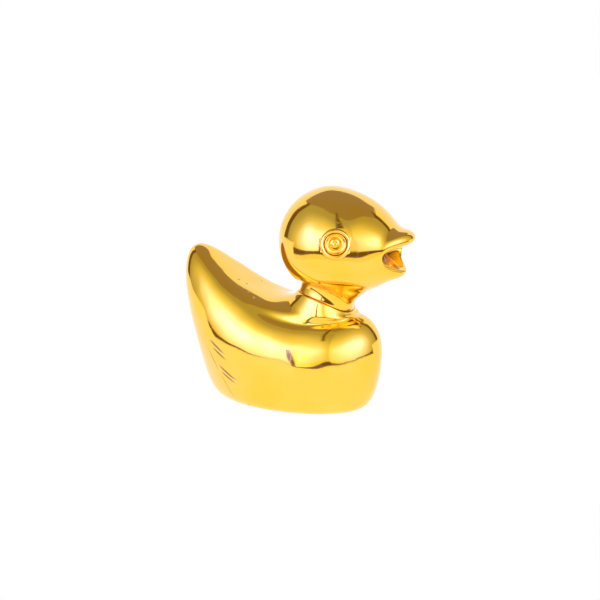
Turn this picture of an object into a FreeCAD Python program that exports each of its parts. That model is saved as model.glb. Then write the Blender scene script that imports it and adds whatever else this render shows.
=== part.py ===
import FreeCAD, Part
import math
import os
import Sketcher
from FreeCAD import Placement, Rotation, Vector

# A small hollow duck in cast and polished brass, bolted together from a body and a head.
# X points to the bill, Y to the duck's left, Z up; the origin lies on the felt, under the body.
# Everything is in millimetres and degrees.

# The sizes

sizes = {
    # body casting
    "body_length": 66.0,
    "body_width": 36.6,
    "tail_height": 47.0,
    "body_wall": 2.5,
    "cavity_roof": 22.5,
    "foot_front": 21.1,
    "foot_back": 27.0,
    "foot_width": 28.5,
    # head casting
    "head_diameter": 35.0,
    "head_forward": 13.0,
    "head_height": 51.0,
    "hollow_radius": 14.0,
    "hollow_setback": 1.0,
    "bill_reach": 23.3,
    "bill_width": 18.6,
    "mouth_depth": 5.5,
    # neck joint
    "neck_tilt": 21.0,
    "neck_forward": 8.5,
    "neck_height": 33.0,
    "neck_diameter": 17.0,
    "neck_root": 21.2,
    "neck_flare": 5.2,
    "neck_seat": 3.7,
    "collar_width": 1.0,
    "collar_web": 4.5,
    "nut_pocket": 14.0,
    "stud_diameter": 5.0,
    "stud_grip": 5.0,
    "stud_end": 1.2,
    "washer_diameter": 10.0,
    "washer_thickness": 1.0,
    "nut_flats": 8.0,
    "nut_thickness": 4.0,
    # eyes
    "eye_azimuth": 68.0,
    "eye_latitude": 7.0,
    "bezel_diameter": 9.6,
    "bezel_bore": 7.0,
    "bezel_proud": 0.25,
    "bezel_thickness": 1.3,
    "iris_thickness": 0.5,
    "pupil_diameter": 4.0,
    "pupil_height": 0.6,
    "pupil_pit": 0.9,
    "shank_diameter": 3.0,
    "shank_length": 1.5,
    # underside
    "felt_proud": 0.4,
    "felt_thickness": 1.2,
    "plate_thickness": 1.5,
    "rim_width": 1.5,
    "ledge_width": 2.2,
    "boss_diameter": 6.0,
    "boss_height": 9.0,
    "screw_diameter": 3.0,
    "screw_length": 7.0,
    "screw_head": 5.6,
    "screw_front": 14.6,
    "screw_back": 18.6,
    "screw_side": 8.6,
    # small things
    "plug_diameter": 1.0,
    "plug_length": 3.0,
    "groove_radius": 0.35,
    "fit_gap": 0.05,
    "seat_gap": 0.1,
    "overrun": 1.0,
}

# One row for each level of the body, from the foot up over the rim and down to the collar.
# Columns: front x, front z, back x, back z, side x, side z, half width, egg.
# X is a share of body_length, z of tail_height, half width of half the body_width.
body_level_shares = (
    (0.352, 0.033, -0.446, 0.033, -0.050, 0.033, 0.873, 0.00),
    (0.385, 0.125, -0.484, 0.132, -0.061, 0.119, 0.949, 0.00),
    (0.409, 0.297, -0.526, 0.343, -0.080, 0.264, 0.992, 0.00),
    (0.409, 0.435, -0.564, 0.554, -0.103, 0.396, 1.000, 0.00),
    (0.385, 0.547, -0.592, 0.752, -0.117, 0.501, 0.966, 0.00),
    (0.343, 0.627, -0.592, 0.897, -0.122, 0.580, 0.864, 0.00),
    (0.305, 0.673, -0.559, 0.985, -0.122, 0.633, 0.746, 0.05),
    (0.293, 0.690, -0.488, 0.985, -0.103, 0.653, 0.655, 0.08),
    (0.288, 0.690, -0.350, 0.810, -0.040, 0.660, 0.610, 0.08),
    (0.284, 0.680, -0.180, 0.706, 0.040, 0.662, 0.590, 0.05),
    (0.279, 0.655, -0.024, 0.690, 0.124, 0.655, 0.550, 0.00),
)

# The cavity follows the flank: front x, back x, height, half width of the skin outside it.
cavity_level_shares = (
    (0.385, -0.484, 0.125, 0.949),
    (0.407, -0.514, 0.280, 0.990),
    (0.409, -0.535, 0.390, 1.000),
)
cavity_roof_share = 0.80
cavity_height_share = 0.40

# One row for each ring of the head from its back to the mouth, in head radii from its centre.
# Columns: top x, top z, bottom x, bottom z, side x, side z, half width, egg.
skull_turns = (20.0, 40.0, 60.0, 80.0)
skull_ring_shares = (
    (0.405, 0.935, 0.372, -0.938, 0.398, 0.000, 0.912, 0.00),
    (0.681, 0.761, 0.602, -0.796, 0.673, -0.018, 0.761, 0.00),
)

# The rings of the bill: x is a share of bill_reach, z of the head radius, width of bill_width.
bill_ring_shares = (
    (0.652, 0.549, 0.572, -0.673, 0.612, -0.035, 0.600, 0.05),
    (0.732, 0.407, 0.652, -0.584, 0.692, -0.035, 0.525, 0.12),
    (0.805, 0.336, 0.732, -0.513, 0.759, -0.018, 0.492, 0.18),
    (0.892, 0.327, 0.812, -0.442, 0.845, 0.010, 0.475, 0.18),
    (0.972, 0.301, 0.872, -0.346, 0.905, 0.010, 0.440, 0.15),
    (0.998, 0.230, 0.895, -0.270, 0.935, 0.000, 0.390, 0.08),
)

# The flat ring that closes the skin at the front, and the rings of the mouth from outside in,
# in the columns of the bill: each is flat, so its side lies midway between its top and bottom.
lip_cap_shares = (0.996, 0.140, 0.904, -0.180, 0.950, -0.020, 0.260, 0.00)
mouth_ring_shares = (
    (1.120, 0.164, 1.040, -0.210, 1.080, -0.023, 0.600, 0.00),
    (0.860, 0.150, 0.780, -0.200, 0.820, -0.025, 0.480, 0.00),
)
mouth_floor_shares = (0.090, -0.160, 0.260)

# The engraved feather lines, each from one point of the flank to another.
# Columns: level and turn of the upper end, level and turn of the lower end.
feather_line_shares = (
    (3.75, 0.361, 3.05, 0.335),
    (3.45, 0.374, 2.85, 0.350),
    (2.70, 0.347, 2.05, 0.312),
    (2.45, 0.360, 1.95, 0.330),
)
plug_level_share = 0.62
plug_turn_share = 0.300
ring_points = 16
screw_places = ("front", "left", "right")

doc = FreeCAD.newDocument("Duck")


def make_sheet():
    sheet = doc.addObject("Spreadsheet::Sheet", "Sizes")
    for row, (alias, value) in enumerate(sizes.items(), start=1):
        sheet.set(f"A{row}", alias)
        sheet.set(f"B{row}", str(value))
        sheet.setAlias(f"B{row}", alias)
    doc.recompute()
    return sheet


sheet = make_sheet()


def size(alias):
    return float(getattr(sheet, alias))


def bind(obj, formulas):
    for prop, formula in formulas.items():
        obj.setExpression(prop, formula)
    return obj


# Places that several pieces share

def neck_sine():
    return math.sin(math.radians(size("neck_tilt")))


def neck_cosine():
    return math.cos(math.radians(size("neck_tilt")))


def on_neck_axis(obj, along):
    # stands the object on the tilted neck axis, `along` above the collar
    obj.Placement = Placement(Vector(), Rotation(Vector(0, 1, 0), size("neck_tilt")))
    return bind(obj, {
        "Placement.Rotation.Angle": "Sizes.neck_tilt",
        "Placement.Base.x": f"Sizes.neck_forward + ({along}) * sin(Sizes.neck_tilt)",
        "Placement.Base.z": f"Sizes.neck_height + ({along}) * cos(Sizes.neck_tilt)",
    })


def on_eye_axis(obj, side, out):
    # stands the object on the eye's axis, `out` from the centre of the head
    obj.Placement = Placement(Vector(), Rotation(Vector(-side, 1, 0), 80))
    flat = f"({out}) * cos(Sizes.eye_latitude)"
    return bind(obj, {
        "Placement.Rotation.Axis.x": f"{-side} * sin(Sizes.eye_azimuth)",
        "Placement.Rotation.Axis.y": "cos(Sizes.eye_azimuth)",
        "Placement.Rotation.Angle": "90 - Sizes.eye_latitude",
        "Placement.Base.x": f"Sizes.head_forward + {flat} * cos(Sizes.eye_azimuth)",
        "Placement.Base.y": f"{side} * {flat} * sin(Sizes.eye_azimuth)",
        "Placement.Base.z": f"Sizes.head_height + ({out}) * sin(Sizes.eye_latitude)",
    })


eye_floor = "Sizes.head_diameter / 2 + Sizes.bezel_proud - Sizes.bezel_thickness"
screw_x = {"front": "Sizes.screw_front", "left": "-Sizes.screw_back", "right": "-Sizes.screw_back"}
screw_y = {"front": "0", "left": "Sizes.screw_side", "right": "-Sizes.screw_side"}


def at_screw(obj, place, height):
    return bind(obj, {
        "Placement.Base.x": screw_x[place],
        "Placement.Base.y": screw_y[place],
        "Placement.Base.z": height,
    })


# Small makers

def cylinder(name, radius, height):
    obj = doc.addObject("Part::Cylinder", name)
    return bind(obj, {"Radius": radius, "Height": height})


def cone(name, lower, upper, height):
    obj = doc.addObject("Part::Cone", name)
    return bind(obj, {"Radius1": lower, "Radius2": upper, "Height": height})


def oval_disc(name, inset, bottom, height):
    # an upright oval disc that follows the foot of the body, smaller by `inset` all round
    oval = doc.addObject("Part::Ellipse", f"{name}_outline")
    bind(oval, {
        "MajorRadius": f"(Sizes.foot_front + Sizes.foot_back) / 2 - ({inset})",
        "MinorRadius": f"Sizes.foot_width / 2 - ({inset})",
        "Placement.Base.x": "(Sizes.foot_front - Sizes.foot_back) / 2",
        "Placement.Base.z": bottom,
    })
    disc = doc.addObject("Part::Extrusion", name)
    disc.Base = oval
    disc.DirMode = "Custom"
    disc.Dir = Vector(0, 0, 1)
    disc.Solid = True
    return bind(disc, {"LengthFwd": height})


def fused(name, shapes):
    obj = doc.addObject("Part::MultiFuse", name)
    obj.Shapes = shapes
    return obj


def cut(name, base, tools):
    # one cut after another; the last one carries the name
    for tool in tools:
        step = name if tool is tools[-1] else f"{name}_less_{tool.Label}"
        obj = doc.addObject("Part::Cut", step)
        obj.Base = base
        obj.Tool = tool
        base = obj
    return base


def shaped(name, shape):
    obj = doc.addObject("Part::Feature", name)
    obj.Shape = shape
    return obj


def closed_curve(points):
    curve = Part.BSplineCurve()
    curve.interpolate(Points=points, PeriodicFlag=True)
    return Part.Wire([curve.toShape()])


def saddle(high, low, middle, cosine):
    # runs from `high` at one end over `middle` at the sides to `low` at the other end
    return middle + (high - low) / 2 * cosine + ((high + low) / 2 - middle) * cosine ** 2


# The body casting

def body_level(row):
    # the row's shares as real sizes
    length, height, half = size("body_length"), size("tail_height"), size("body_width") / 2
    lift = size("felt_proud")
    rise = height - lift
    front_x, front_z, back_x, back_z, side_x, side_z, width, egg = row
    return (front_x * length, lift + front_z * rise, back_x * length, lift + back_z * rise,
            side_x * length, lift + side_z * rise, width * half, egg)


def foot_level():
    middle = (size("foot_front") - size("foot_back")) / 2
    lift = size("felt_proud")
    return (size("foot_front"), lift, -size("foot_back"), lift, middle, lift, size("foot_width") / 2, 0.0)


def collar_level():
    # the flat tilted ring on which the skin ends, a little wider than the neck
    reach = size("neck_diameter") / 2 + size("collar_width")
    x, z = size("neck_forward"), size("neck_height")
    return (x + reach * neck_cosine(), z - reach * neck_sine(),
            x - reach * neck_cosine(), z + reach * neck_sine(), x, z, reach, 0.0)


def level_point(level, turn):
    front_x, front_z, back_x, back_z, side_x, side_z, width, egg = level
    cosine, sine = math.cos(turn), math.sin(turn)
    return Vector(saddle(front_x, back_x, side_x, cosine), width * sine * (1 + egg * cosine),
                  saddle(front_z, back_z, side_z, cosine))


def level_ring(level):
    turns = [2 * math.pi * step / ring_points for step in range(ring_points)]
    return closed_curve([level_point(level, turn) for turn in turns])


def body_levels():
    return [foot_level()] + [body_level(row) for row in body_level_shares] + [collar_level()]


def flank_point(level_share, turn_share, side):
    # a point on the skin between two levels; turn 0 is the breast and 0.5 the tail
    levels = body_levels()
    lower = int(level_share)
    part = level_share - lower
    turn = side * 2 * math.pi * turn_share
    below, above = level_point(levels[lower], turn), level_point(levels[lower + 1], turn)
    return below + (above - below) * part


def make_body_skin():
    return shaped("body_skin", Part.makeLoft([level_ring(level) for level in body_levels()], True))


def cavity_level(front, back, height, width):
    middle = (front + back) / 2
    return (front, height, back, height, middle, height, width, 0.0)


def ledge_height():
    return size("felt_thickness") + size("plate_thickness")


def make_body_cavity():
    wall = size("body_wall")
    inset = size("rim_width") + size("ledge_width")
    levels = [cavity_level(size("foot_front") - inset, inset - size("foot_back"), ledge_height(),
                           size("foot_width") / 2 - inset)]
    for front, back, height, width in cavity_level_shares:
        levels.append(cavity_level(front * size("body_length") - wall, back * size("body_length") + wall,
                                   height * size("cavity_roof") / cavity_height_share,
                                   width * size("body_width") / 2 - wall))
    front, back, height, width = levels[-1][0], levels[-1][2], size("cavity_roof"), levels[-1][6]
    levels.append(cavity_level(cavity_roof_share * front, cavity_roof_share * back, height,
                               cavity_roof_share * width))
    rings = [level_ring(level) for level in levels]
    return shaped("body_cavity", Part.makeLoft(rings, True, True))


def make_feather_lines():
    radius = size("groove_radius")
    grooves = []
    for side in (1, -1):
        for upper_level, upper_turn, lower_level, lower_turn in feather_line_shares:
            upper = flank_point(upper_level, upper_turn, side)
            lower = flank_point(lower_level, lower_turn, side)
            grooves.append(Part.makeCylinder(radius, (lower - upper).Length, upper, lower - upper))
    return shaped("feather_lines", Part.makeCompound(grooves))


def plug_place():
    # the plug lies square to the flank, low on the right side
    point = flank_point(plug_level_share, plug_turn_share, -1)
    turn = -2 * math.pi * plug_turn_share
    levels = body_levels()
    ahead = level_point(levels[1], turn + math.radians(1)) - level_point(levels[1], turn - math.radians(1))
    up = level_point(levels[1], turn) - level_point(levels[0], turn)
    outward = ahead.cross(up)
    return point, outward.normalize()


def make_plug_hole():
    point, outward = plug_place()
    radius = size("plug_diameter") / 2 + size("fit_gap")
    start = point - outward * (size("plug_length") + size("seat_gap"))
    length = size("plug_length") + size("seat_gap") + size("overrun")
    return shaped("plug_hole", Part.makeCylinder(radius, length, start, outward))


def make_body_shell():
    hollow = cut("body_hollow", make_body_skin(), [make_body_cavity()])
    bosses = []
    for place in screw_places:
        boss = cylinder(f"boss_{place}", "Sizes.boss_diameter / 2", "Sizes.boss_height")
        bosses.append(at_screw(boss, place, "Sizes.felt_thickness + Sizes.plate_thickness"))
    solid = fused("body_solid", [hollow] + bosses)

    socket = cylinder("neck_socket", "Sizes.neck_diameter / 2 + Sizes.fit_gap",
                      "Sizes.neck_seat + Sizes.head_diameter / 2")
    on_neck_axis(socket, "-Sizes.neck_seat")
    stud_hole = cylinder("stud_hole", "Sizes.stud_diameter / 2 + Sizes.fit_gap",
                         "Sizes.collar_web + 2 * Sizes.overrun")
    on_neck_axis(stud_hole, "-Sizes.neck_seat - Sizes.collar_web - Sizes.overrun")
    pocket = cylinder("nut_pocket_cut", "Sizes.nut_pocket / 2", "Sizes.cavity_roof / 2")
    on_neck_axis(pocket, "-Sizes.neck_seat - Sizes.collar_web - Sizes.cavity_roof / 2")
    rebate = oval_disc("plate_rebate", "Sizes.rim_width", "Sizes.felt_proud - Sizes.overrun",
                       "Sizes.felt_thickness + Sizes.plate_thickness - Sizes.felt_proud + Sizes.overrun")
    tools = [make_feather_lines(), socket, stud_hole, pocket, rebate, make_plug_hole()]
    for place in screw_places:
        hole = cylinder(f"screw_hole_{place}", "Sizes.screw_diameter / 2 + Sizes.fit_gap",
                        "Sizes.screw_length + Sizes.overrun")
        tools.append(at_screw(hole, place, "Sizes.felt_thickness + Sizes.plate_thickness - Sizes.overrun"))
    return cut("body_shell", solid, tools)


# The head casting

def head_ring(top_x, top_z, bottom_x, bottom_z, side_x, side_z, width, egg):
    # a ring round the head's fore-and-aft axis, starting at its top
    centre = Vector(size("head_forward"), 0, size("head_height"))
    points = []
    for step in range(ring_points):
        turn = 2 * math.pi * step / ring_points
        cosine, sine = math.cos(turn), math.sin(turn)
        points.append(centre + Vector(saddle(top_x, bottom_x, side_x, cosine),
                                      width * sine * (1 + egg * cosine),
                                      saddle(top_z, bottom_z, side_z, cosine)))
    return closed_curve(points)


def bill_ring(row):
    reach, radius, bill = size("bill_reach"), size("head_diameter") / 2, size("bill_width")
    top_x, top_z, bottom_x, bottom_z, side_x, side_z, width, egg = row
    return head_ring(top_x * reach, top_z * radius, bottom_x * reach, bottom_z * radius,
                     side_x * reach, side_z * radius, width * bill, egg)


def head_rings():
    radius = size("head_diameter") / 2
    rings = [Part.Vertex(Vector(size("head_forward") - radius, 0, size("head_height")))]
    for degrees in skull_turns:
        x, ring = -radius * math.cos(math.radians(degrees)), radius * math.sin(math.radians(degrees))
        rings.append(head_ring(x, ring, x, -ring, x, 0, ring, 0))
    for row in skull_ring_shares:
        rings.append(head_ring(*[share * radius for share in row[:7]], row[7]))
    return rings + [bill_ring(row) for row in bill_ring_shares + (lip_cap_shares,)]


def mouth_rings():
    radius, bill = size("head_diameter") / 2, size("bill_width")
    side_x = bill_ring_shares[-1][4] * size("bill_reach") - size("mouth_depth")
    top_z, bottom_z, width = mouth_floor_shares
    floor = head_ring(side_x, top_z * radius, side_x, bottom_z * radius, side_x,
                      (top_z + bottom_z) / 2 * radius, width * bill, 0)
    return [bill_ring(row) for row in mouth_ring_shares] + [floor]


def make_neck_form():
    # a turned neck that flares from the seam into the underside of the head
    root, flare = size("neck_root") / 2, size("neck_flare")
    stem, seat = size("neck_diameter") / 2, size("neck_seat")
    low = Vector(stem, 0, 0)
    high = Vector(root, 0, flare)
    through = Vector(stem + (root - stem) * 0.30, 0, flare * 0.55)
    edges = [
        Part.makeLine(Vector(0, 0, -seat), Vector(stem, 0, -seat)),
        Part.makeLine(Vector(stem, 0, -seat), low),
        Part.Arc(low, through, high).toShape(),
        Part.makeLine(high, Vector(root, 0, flare + stem)),
        Part.makeLine(Vector(root, 0, flare + stem), Vector(0, 0, flare + stem)),
        Part.makeLine(Vector(0, 0, flare + stem), Vector(0, 0, -seat)),
    ]
    face = Part.Face(Part.Wire(edges))
    neck = shaped("neck_form", face.revolve(Vector(), Vector(0, 0, 1), 360))
    return on_neck_axis(neck, "0")


def make_head_shell():
    skin = shaped("head_skin", Part.makeLoft(head_rings(), True))
    solid = fused("head_solid", [skin, make_neck_form()])
    hollow = doc.addObject("Part::Sphere", "head_hollow")
    bind(hollow, {
        "Radius": "Sizes.hollow_radius",
        "Placement.Base.x": "Sizes.head_forward - Sizes.hollow_setback",
        "Placement.Base.z": "Sizes.head_height",
    })
    tapped = cylinder("tapped_hole", "Sizes.stud_diameter / 2 + Sizes.fit_gap",
                      "Sizes.stud_grip + Sizes.overrun")
    on_neck_axis(tapped, "-Sizes.neck_seat - Sizes.overrun")
    mouth = shaped("mouth_cut", Part.makeLoft(mouth_rings(), True, True))
    tools = [mouth, hollow, tapped]
    for side, word in ((1, "left"), (-1, "right")):
        seat = cylinder(f"{word}_eye_seat", "Sizes.bezel_diameter / 2 + Sizes.fit_gap", "Sizes.bezel_diameter")
        tools.append(on_eye_axis(seat, side, eye_floor))
        hole = cylinder(f"{word}_shank_hole", "Sizes.shank_diameter / 2 + Sizes.fit_gap",
                        "Sizes.head_diameter / 2 - Sizes.hollow_radius + Sizes.bezel_thickness")
        tools.append(on_eye_axis(hole, side, f"{eye_floor} - Sizes.head_diameter / 2 + Sizes.hollow_radius"))
    return cut("head_shell", solid, tools)


# Turned and pressed pieces

def new_body(name):
    return doc.addObject("PartDesign::Body", name)


def plane_of(body, role):
    return next(item for item in body.Origin.OriginFeatures if item.Role == role)


def new_sketch(body, name, role):
    sketch = body.newObject("Sketcher::SketchObject", name)
    sketch.AttachmentSupport = [(plane_of(body, role), "")]
    sketch.MapMode = "FlatFace"
    return sketch


def add_profile(sketch, corners):
    # a closed outline whose corners are bound to the sheet, each as (across, up)
    count = len(corners)
    starts = [Vector(index + 1.0, (index % 3) + 1.0, 0) for index in range(count)]
    for index in range(count):
        sketch.addGeometry(Part.LineSegment(starts[index], starts[(index + 1) % count]))
    for index in range(count):
        sketch.addConstraint(Sketcher.Constraint("Coincident", index, 2, (index + 1) % count, 1))
    for index, (across, up) in enumerate(corners):
        for kind, formula in (("DistanceX", across), ("DistanceY", up)):
            number = sketch.addConstraint(Sketcher.Constraint(kind, -1, 1, index, 1, 1.0))
            sketch.setExpression(f"Constraints[{number}]", formula)


def turned(name, corners):
    # a piece turned round its own Z axis
    body = new_body(name)
    sketch = new_sketch(body, f"{name}_profile", "XZ_Plane")
    add_profile(sketch, corners)
    doc.recompute()
    turning = body.newObject("PartDesign::Revolution", f"{name}_turning")
    turning.Profile = sketch
    turning.ReferenceAxis = (sketch, ["V_Axis"])
    turning.Angle = 360
    doc.recompute()
    return body


def make_neck_stud():
    length = ("Sizes.stud_grip + Sizes.collar_web + Sizes.washer_thickness + Sizes.nut_thickness"
              " + 2 * Sizes.fit_gap + Sizes.stud_end")
    radius = "Sizes.stud_diameter / 2"
    bevel = "Sizes.stud_diameter / 8"
    stud = turned("neck_stud", [
        ("0", "0"),
        (f"{radius} - {bevel}", "0"),
        (radius, bevel),
        (radius, f"{length} - {bevel}"),
        (f"{radius} - {bevel}", length),
        ("0", length),
    ])
    return on_neck_axis(stud, f"Sizes.stud_grip - Sizes.neck_seat - ({length})")


def make_neck_washer():
    inner, outer = "Sizes.stud_diameter / 2 + Sizes.fit_gap", "Sizes.washer_diameter / 2"
    washer = turned("neck_washer", [
        (inner, "0"),
        (outer, "0"),
        (outer, "Sizes.washer_thickness"),
        (inner, "Sizes.washer_thickness"),
    ])
    return on_neck_axis(washer, "-Sizes.neck_seat - Sizes.collar_web - Sizes.washer_thickness - Sizes.fit_gap")


def make_neck_nut():
    body = new_body("neck_nut")
    sketch = new_sketch(body, "nut_outline", "XY_Plane")
    corners = [Vector(math.cos(math.radians(60 * turn)), math.sin(math.radians(60 * turn)), 0)
               for turn in range(6)]
    for index in range(6):
        sketch.addGeometry(Part.LineSegment(corners[index], corners[(index + 1) % 6]))
    for index in range(6):
        sketch.addConstraint(Sketcher.Constraint("Coincident", index, 2, (index + 1) % 6, 1))
    ring = sketch.addGeometry(Part.Circle(Vector(), Vector(0, 0, 1), 1.0), True)
    sketch.addConstraint(Sketcher.Constraint("Coincident", ring, 3, -1, 1))
    for index in range(6):
        sketch.addConstraint(Sketcher.Constraint("PointOnObject", index, 1, ring))
    for index in range(5):
        sketch.addConstraint(Sketcher.Constraint("Equal", index, index + 1))
    sketch.addConstraint(Sketcher.Constraint("PointOnObject", 0, 1, -1))
    number = sketch.addConstraint(Sketcher.Constraint("Radius", ring, 1.0))
    sketch.setExpression(f"Constraints[{number}]", "Sizes.nut_flats / sqrt(3)")
    doc.recompute()
    pad = body.newObject("PartDesign::Pad", "nut_pad")
    pad.Profile = sketch
    bind(pad, {"Length": "Sizes.nut_thickness"})
    bore = new_sketch(body, "nut_bore", "XY_Plane")
    bore.addGeometry(Part.Circle(Vector(), Vector(0, 0, 1), 1.0))
    bore.addConstraint(Sketcher.Constraint("Coincident", 0, 3, -1, 1))
    number = bore.addConstraint(Sketcher.Constraint("Radius", 0, 1.0))
    bore.setExpression(f"Constraints[{number}]", "Sizes.stud_diameter / 2 + Sizes.fit_gap")
    doc.recompute()
    pocket = body.newObject("PartDesign::Pocket", "nut_thread")
    pocket.Profile = bore
    pocket.Type = "ThroughAll"
    pocket.Midplane = True
    doc.recompute()
    return on_neck_axis(body, "-Sizes.neck_seat - Sizes.collar_web - Sizes.washer_thickness"
                              " - Sizes.nut_thickness - 2 * Sizes.fit_gap")


def make_eye_bezel(side, word):
    inner, outer = "Sizes.bezel_bore / 2", "Sizes.bezel_diameter / 2"
    depth, band = "Sizes.bezel_thickness", "(Sizes.bezel_diameter - Sizes.bezel_bore) / 2"
    bezel = turned(f"{word}_eye_bezel", [
        (inner, "0"),
        (outer, "0"),
        (outer, f"{depth} - 0.40 * {band}"),
        (f"{outer} - 0.18 * {band}", f"{depth} - 0.12 * {band}"),
        (f"{outer} - 0.45 * {band}", depth),
        (f"{inner} + 0.25 * {band}", f"{depth} - 0.06 * {band}"),
        (inner, f"{depth} - 0.25 * {band}"),
    ])
    return on_eye_axis(bezel, side, eye_floor)


def make_eye_stud(side, word):
    rim, pupil, pit = "(Sizes.bezel_bore / 2 - Sizes.fit_gap)", "Sizes.pupil_diameter / 2", "Sizes.pupil_pit / 2"
    shank, depth = "Sizes.shank_diameter / 2", "Sizes.shank_length"
    face = "(Sizes.shank_length + Sizes.iris_thickness)"
    stud = turned(f"{word}_eye_stud", [
        ("0", "0"),
        (shank, "0"),
        (shank, depth),
        (rim, depth),
        (rim, f"{face} + 0.30 * Sizes.pupil_height"),
        (f"{pupil} + 0.30 * ({rim} - {pupil})", face),
        (pupil, face),
        (f"0.85 * {pupil}", f"{face} + 0.60 * Sizes.pupil_height"),
        (f"{pit} + 0.30 * ({pupil} - {pit})", f"{face} + Sizes.pupil_height"),
        (pit, f"{face} + 0.90 * Sizes.pupil_height"),
        ("0", f"{face} + 0.40 * Sizes.pupil_height"),
    ])
    return on_eye_axis(stud, side, f"{eye_floor} - Sizes.shank_length")


def make_core_plug():
    radius, length = "Sizes.plug_diameter / 2", "Sizes.plug_length"
    plug = turned("core_plug", [
        ("0", "0"),
        (radius, "0"),
        (radius, length),
        (f"0.60 * {radius}", f"{length} + 0.40 * {radius}"),
        ("0", f"{length} + 0.55 * {radius}"),
    ])
    point, outward = plug_place()
    plug.Placement = Placement(point - outward * size("plug_length"), Rotation(Vector(0, 0, 1), outward))
    return plug


# The underside

def make_base_plate():
    disc = oval_disc("plate_blank", "Sizes.rim_width + Sizes.seat_gap", "Sizes.felt_thickness",
                     "Sizes.plate_thickness")
    tools = []
    for place in screw_places:
        hole = cylinder(f"plate_hole_{place}", "Sizes.screw_diameter / 2 + Sizes.fit_gap",
                        "Sizes.plate_thickness + 2 * Sizes.overrun")
        tools.append(at_screw(hole, place, "Sizes.felt_thickness - Sizes.overrun"))
        sink = cone(f"countersink_{place}", "Sizes.screw_head / 2 + Sizes.fit_gap",
                    "Sizes.screw_diameter / 2 + Sizes.fit_gap",
                    "(Sizes.screw_head - Sizes.screw_diameter) / 2")
        tools.append(at_screw(sink, place, "Sizes.felt_thickness"))
    return cut("base_plate", disc, tools)


def make_base_screws():
    screws = []
    for place in screw_places:
        head = cone(f"screw_head_{place}", "Sizes.screw_head / 2", "Sizes.screw_diameter / 2",
                    "(Sizes.screw_head - Sizes.screw_diameter) / 2")
        at_screw(head, place, "Sizes.felt_thickness")
        shank = cylinder(f"screw_shank_{place}", "Sizes.screw_diameter / 2", "Sizes.screw_length")
        at_screw(shank, place, "Sizes.felt_thickness")
        screw = fused(f"screw_{place}", [head, shank])
        slot = doc.addObject("Part::Box", f"screw_slot_{place}")
        bind(slot, {
            "Length": "Sizes.screw_head + Sizes.overrun",
            "Width": "Sizes.screw_head / 7",
            "Height": "Sizes.screw_head / 8 + Sizes.overrun",
            "Placement.Base.x": f"{screw_x[place]} - (Sizes.screw_head + Sizes.overrun) / 2",
            "Placement.Base.y": f"{screw_y[place]} - Sizes.screw_head / 14",
            "Placement.Base.z": "Sizes.felt_thickness - Sizes.overrun",
        })
        screws.append(cut(f"slotted_screw_{place}", screw, [slot]))
    group = doc.addObject("Part::Compound", "base_screws")
    group.Links = screws
    return group


def make_base_felt():
    return oval_disc("base_felt", "Sizes.rim_width + 2 * Sizes.seat_gap", "0", "Sizes.felt_thickness")


def make_pieces():
    pieces = [make_body_shell(), make_head_shell(), make_neck_stud(), make_neck_washer(), make_neck_nut()]
    for side, word in ((1, "left"), (-1, "right")):
        pieces.append(make_eye_bezel(side, word))
        pieces.append(make_eye_stud(side, word))
    pieces += [make_core_plug(), make_base_plate(), make_base_screws(), make_base_felt()]
    doc.recompute()
    return pieces


def check_document(pieces):
    for obj in doc.Objects:
        if "Invalid" in obj.State or "Error" in obj.State:
            raise RuntimeError(f"{obj.Label} failed: {obj.State}")
    for piece in pieces:
        if piece.Shape.isNull() or not piece.Shape.isValid():
            raise RuntimeError(f"{piece.Label} has no valid shape")


def write_pieces(pieces):
    os.makedirs("parts", exist_ok=True)
    for piece in pieces:
        shape = piece.Shape
        shape.exportStep(os.path.join("parts", f"{piece.Label}.step"))
        box = shape.BoundBox
        print(f"{piece.Label}: {len(shape.Solids)} solid, {shape.Volume:.1f} mm3, "
              f"x {box.XMin:.2f} to {box.XMax:.2f}, y {box.YMin:.2f} to {box.YMax:.2f}, "
              f"z {box.ZMin:.2f} to {box.ZMax:.2f}")


pieces = make_pieces()
check_document(pieces)
write_pieces(pieces)
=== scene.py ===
import math

import bmesh
import bpy
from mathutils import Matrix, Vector
from mathutils.bvhtree import BVHTree


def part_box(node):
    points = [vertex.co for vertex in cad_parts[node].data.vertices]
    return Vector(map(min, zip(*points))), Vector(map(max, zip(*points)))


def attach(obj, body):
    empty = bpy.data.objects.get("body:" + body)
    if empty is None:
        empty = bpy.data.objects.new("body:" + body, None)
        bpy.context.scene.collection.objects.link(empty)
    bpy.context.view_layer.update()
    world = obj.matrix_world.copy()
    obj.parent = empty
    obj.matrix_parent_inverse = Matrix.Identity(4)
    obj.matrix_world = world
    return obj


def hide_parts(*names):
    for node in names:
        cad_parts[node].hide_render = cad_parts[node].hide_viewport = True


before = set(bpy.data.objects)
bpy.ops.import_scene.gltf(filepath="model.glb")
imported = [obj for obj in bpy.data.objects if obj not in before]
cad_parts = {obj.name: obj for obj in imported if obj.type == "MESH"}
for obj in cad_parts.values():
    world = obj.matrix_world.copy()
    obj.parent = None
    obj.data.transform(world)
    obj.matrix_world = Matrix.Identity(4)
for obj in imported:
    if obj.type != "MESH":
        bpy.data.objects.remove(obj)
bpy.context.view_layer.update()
mm = 0.001

# A polished brass duck, cast in two hollow pieces that meet at the neck.
# X runs to the bill, Y to the duck's left side, Z up. Shapes are written in millimetres.

# middle of the seam, lean of the neck's axis and how far the seam rises at both sides
neck = {"x": 8.5, "z": 33.4, "tilt": 18.0, "saddle": 2.0}


def deselectAll():
    if bpy.context.object and bpy.context.object.mode != "OBJECT":
        bpy.ops.object.mode_set(mode="OBJECT")
    bpy.ops.object.select_all(action="DESELECT")


def saddle(high, low, middle, cosine):
    # from high at one end over middle at the sides to low at the other end
    return middle + (high - low) / 2 * cosine + ((high + low) / 2 - middle) * cosine ** 2


def turnsOf(count):
    return [2 * math.pi * step / count for step in range(count)]


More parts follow.
